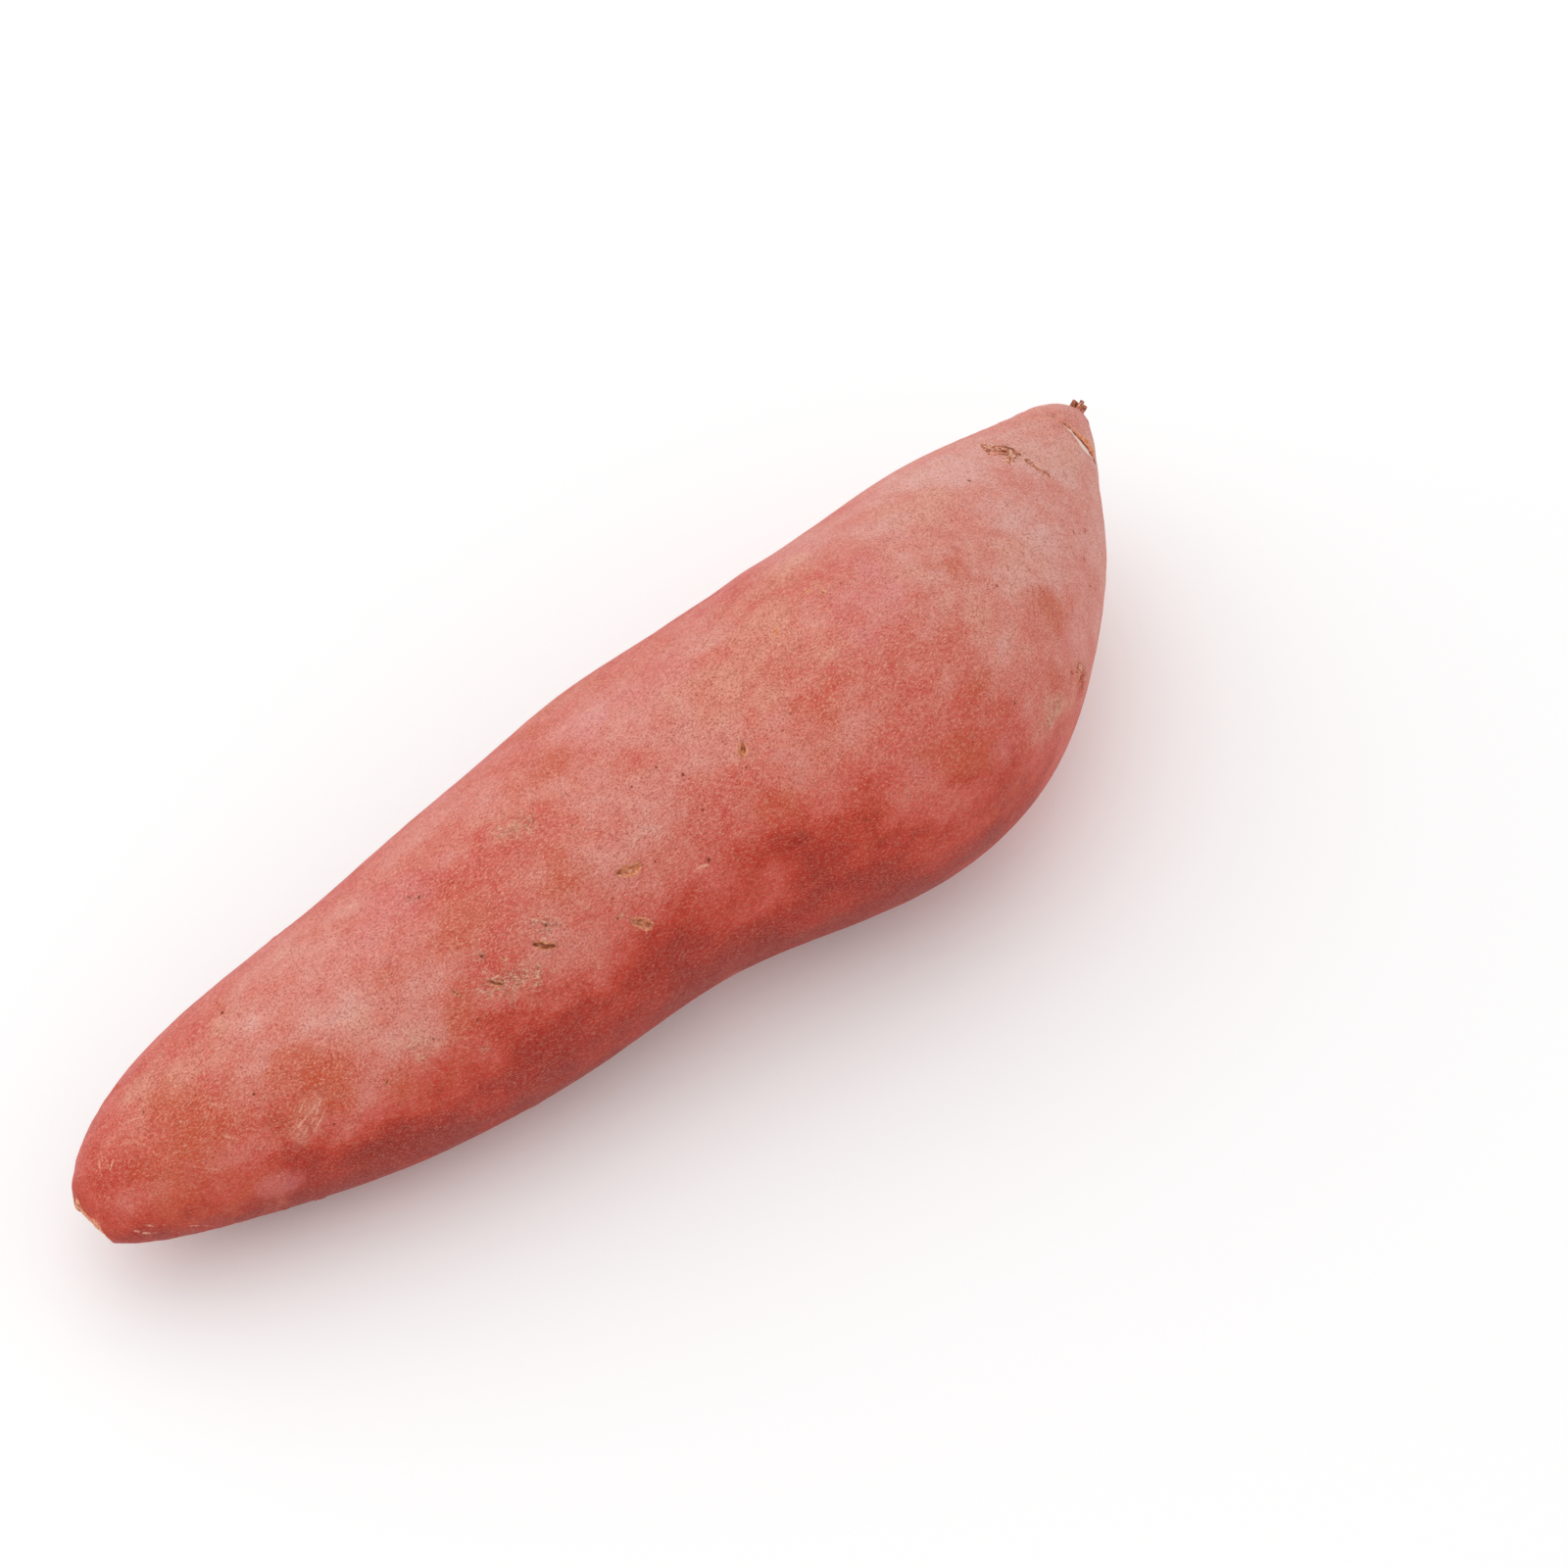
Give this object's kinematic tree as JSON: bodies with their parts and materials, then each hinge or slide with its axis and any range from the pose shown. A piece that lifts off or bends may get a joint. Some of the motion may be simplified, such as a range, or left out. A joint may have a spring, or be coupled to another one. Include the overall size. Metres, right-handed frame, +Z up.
{
  "type": "sweet potato",
  "caption": "Whole long sweet potato, fat towards the stem end and tapering to a blunt root end, with a short dried stub of vine, lying on its side.",
  "frame": {"origin": "on the surface it lies on, under the middle of its outline", "axes": "+X along the tuber towards its stem end, +Y away from the side its belly bows out to, +Z up"},
  "size_m": [0.2354, 0.0706, 0.0593],
  "materials": {
    "skin": "dry velvety copper-pink skin, mottled orange-red and dusty tan, with lengthwise scratches and small corky slits",
    "dried_stem": "dry, split brown plant fibres"
  },
  "bodies": {
    "root": {"sweet_potato": "skin"}
  },
  "joints": []
}
